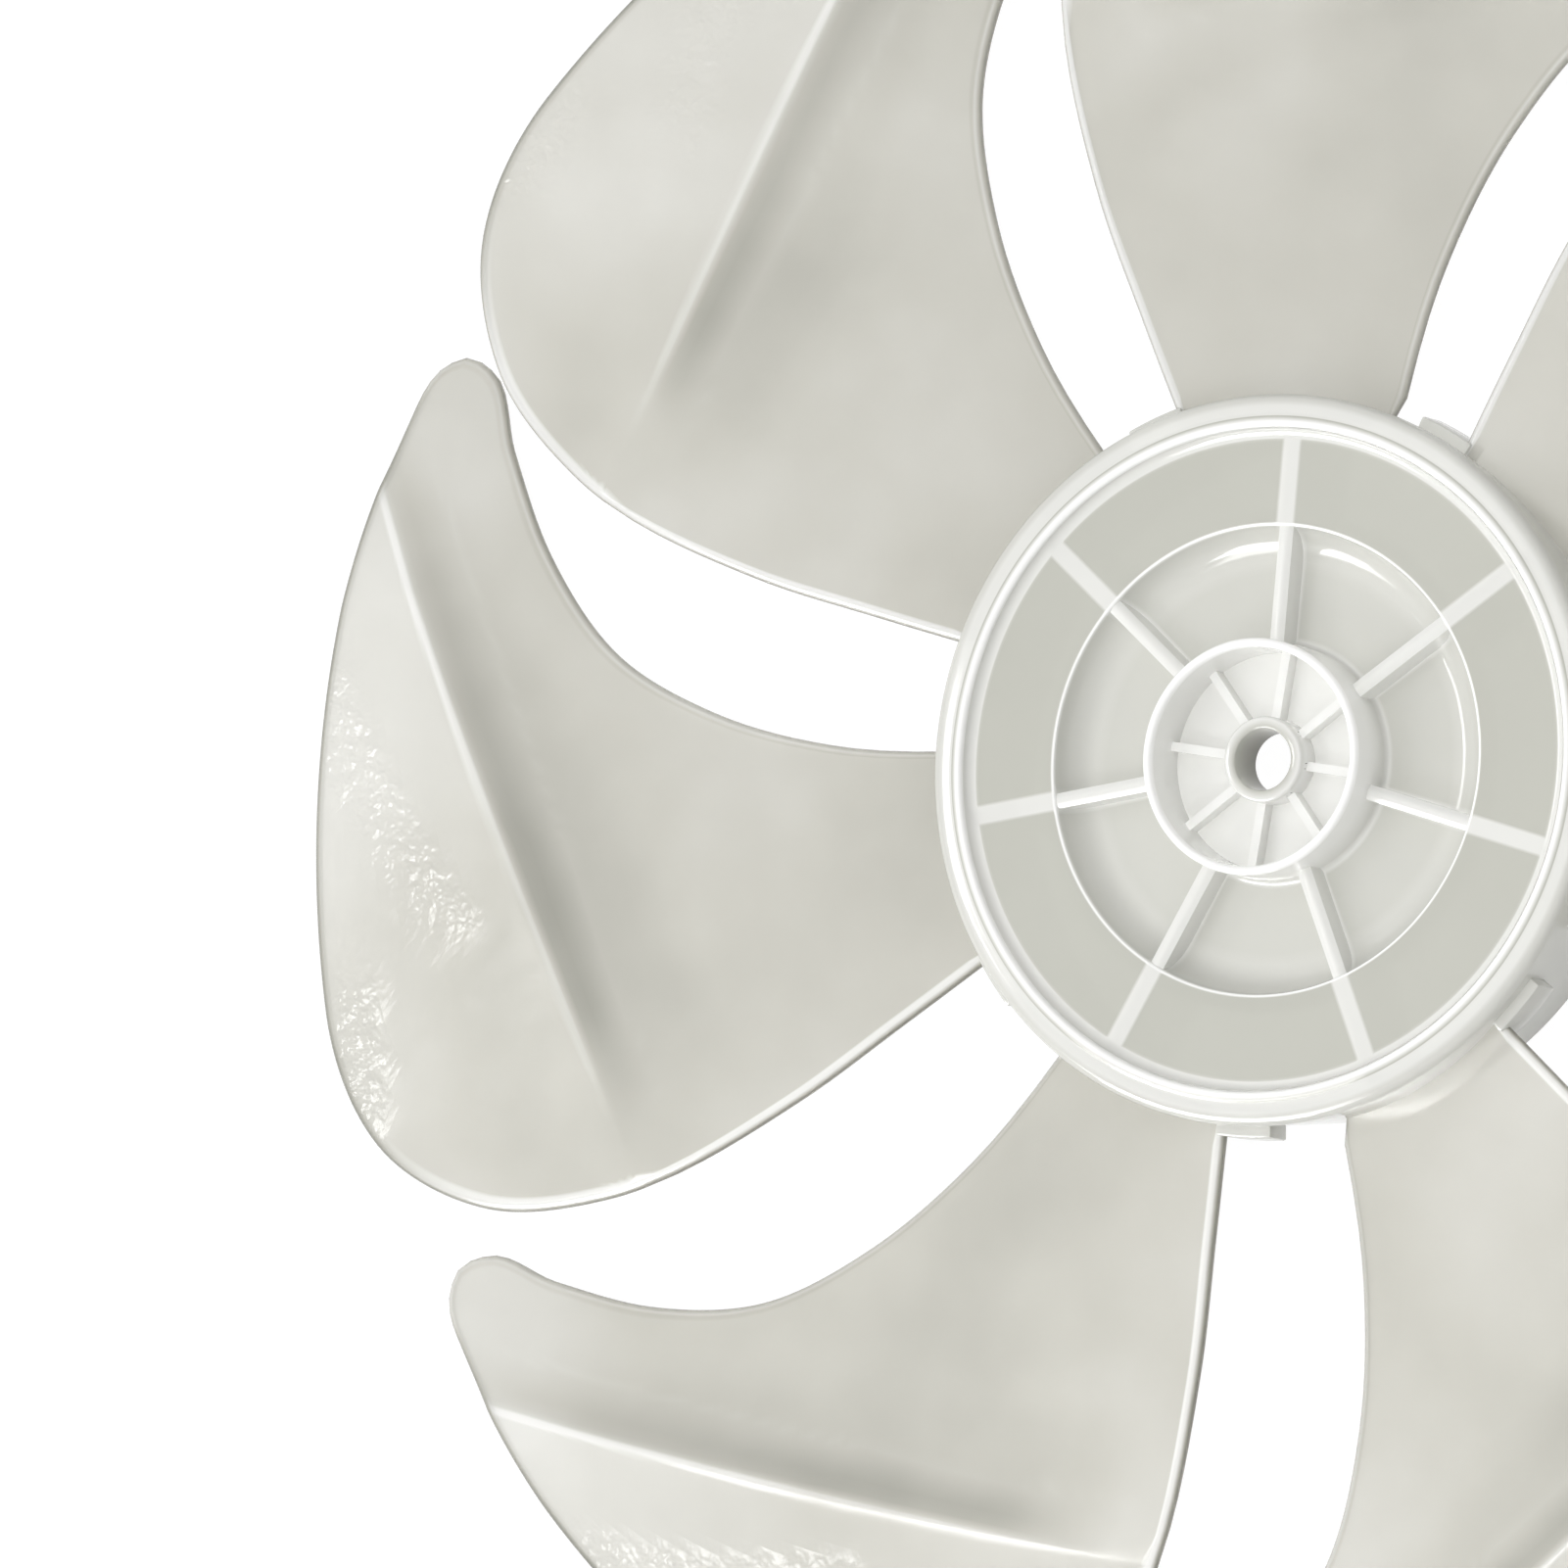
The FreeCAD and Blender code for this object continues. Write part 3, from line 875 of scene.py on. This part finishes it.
# %% [markdown]
# ## Floor
# The rotor lies on a plain white table. Seen directly, in a reflection or through the plastic,
# the table is nearly all its own white, so the shadow on it stays faint. To the rays that carry
# its light to the rotor it is an ordinary pale surface.

# %% floor
FLOOR_SIZE, FLOOR_DROP = 4.0, 0.0003
TABLE_GLOW = 0.95
TABLE_SEEN, TABLE_PALE = (0.12, 0.12, 0.12, 1), (0.85, 0.85, 0.85, 1)
WHITE = (1, 1, 1, 1)

floor_bm = bmesh.new()
bmesh.ops.create_grid(floor_bm, x_segments=1, y_segments=1, size=FLOOR_SIZE)
floor_mesh = bpy.data.meshes.new("floor")
floor_bm.to_mesh(floor_mesh)
floor_bm.free()
floor = bpy.data.objects.new("floor", floor_mesh)
floor.location.z = -FLOOR_DROP
scene.collection.objects.link(floor)


def seen_directly(tree):
    path = node(tree, "ShaderNodeLightPath").outputs
    seen = calc(tree, "MAXIMUM", path["Is Camera Ray"], path["Is Glossy Ray"])
    return calc(tree, "MAXIMUM", seen, path["Is Transmission Ray"])


table = bpy.data.materials.new("white_table")
table.use_nodes = True
tree = table.node_tree
cover = tree.nodes["Principled BSDF"].inputs
cover["Roughness"].default_value = 0.9
cover["Specular IOR Level"].default_value = 0.0
cover["Emission Color"].default_value = WHITE
seen = seen_directly(tree)
tree.links.new(calc(tree, "MULTIPLY", seen, TABLE_GLOW), cover["Emission Strength"])
tree.links.new(mix(tree, seen, TABLE_PALE, TABLE_SEEN), cover["Base Color"])
floor_mesh.materials.append(table)
print("floor", 2 * FLOOR_SIZE, "m wide")

# %% [markdown]
# ## Room light
# The room is white and soft. It is brighter on the picture's left, which shades the folds. The
# camera itself sees plain white behind the table.

# %% room light
LIGHT_SIDE = (-VIEW_RIGHT * 0.75 + VIEW_BACK * 0.35 - VIEW_UP * 0.15).normalized()
DIM_AT, BRIGHT_AT = -0.5, 0.9
DIM, BRIGHT = 0.74, 1.12

world = bpy.data.worlds.new("studio")
scene.world = world
world.use_nodes = True
tree = world.node_tree
sky = tree.nodes["Background"].inputs
sky["Color"].default_value = WHITE
toward = node(tree, "ShaderNodeVectorMath", operation="DOT_PRODUCT")
tree.links.new(node(tree, "ShaderNodeTexCoord").outputs["Generated"], toward.inputs[0])
toward.inputs[1].default_value = LIGHT_SIDE
room = node(tree, "ShaderNodeMapRange")
tree.links.new(toward.outputs["Value"], room.inputs["Value"])
for label, value in (("From Min", DIM_AT), ("From Max", BRIGHT_AT),
                     ("To Min", DIM), ("To Max", BRIGHT)):
    room.inputs[label].default_value = value
camera_ray = node(tree, "ShaderNodeLightPath").outputs["Is Camera Ray"]
tree.links.new(calc(tree, "MAXIMUM", room.outputs["Result"], camera_ray), sky["Strength"])
print("room light from", DIM, "to", BRIGHT)

# %% [markdown]
# ## Lamps
# A long soft lamp at the lower left stands for a window. A small lamp stands just beside the
# place that the outer panels mirror, so only their crumpled patches sparkle. A third lamp, low
# at the bottom of the picture, is seen only in the gloss, and lies along the upper wall of the
# bowl as a broad white glint.

# %% lamps
LAMP_DISTANCE = 1.6
# Name, direction from the rotor, direction of the long side, size in metres, power in watts.
LAMPS = [
    ("window_lamp", (-0.33, -0.62, 0.70), (0.6, 0.02, 0.3), (1.0, 0.45), 9.5),
    ("glint_lamp", (-0.57, -0.10, 0.815), (0, 1, 0), (0.2, 0.2), 1.2),
    ("bowl_lamp", (-0.26, -0.82, 0.51), (0.95, -0.3, 0), (1.1, 0.85), 50.0),
]


def hang_lamp(name, way, along, size, power):
    light = bpy.data.lights.new(name, "AREA")
    light.shape = "RECTANGLE"
    light.size, light.size_y = size
    light.energy = power
    lamp = bpy.data.objects.new(name, light)
    scene.collection.objects.link(lamp)
    back = Vector(way).normalized()
    up = back.cross(Vector(along)).normalized()
    turn = Matrix((up.cross(back), up, back)).transposed().to_4x4()
    lamp.matrix_world = Matrix.Translation(back * LAMP_DISTANCE) @ turn
    return lamp


lamps = [hang_lamp(*row) for row in LAMPS]
lamps[-1].visible_diffuse = False
lamps[-1].visible_transmission = False
scene.view_settings.view_transform = "Standard"
print("lamps:", [lamp.name for lamp in lamps])
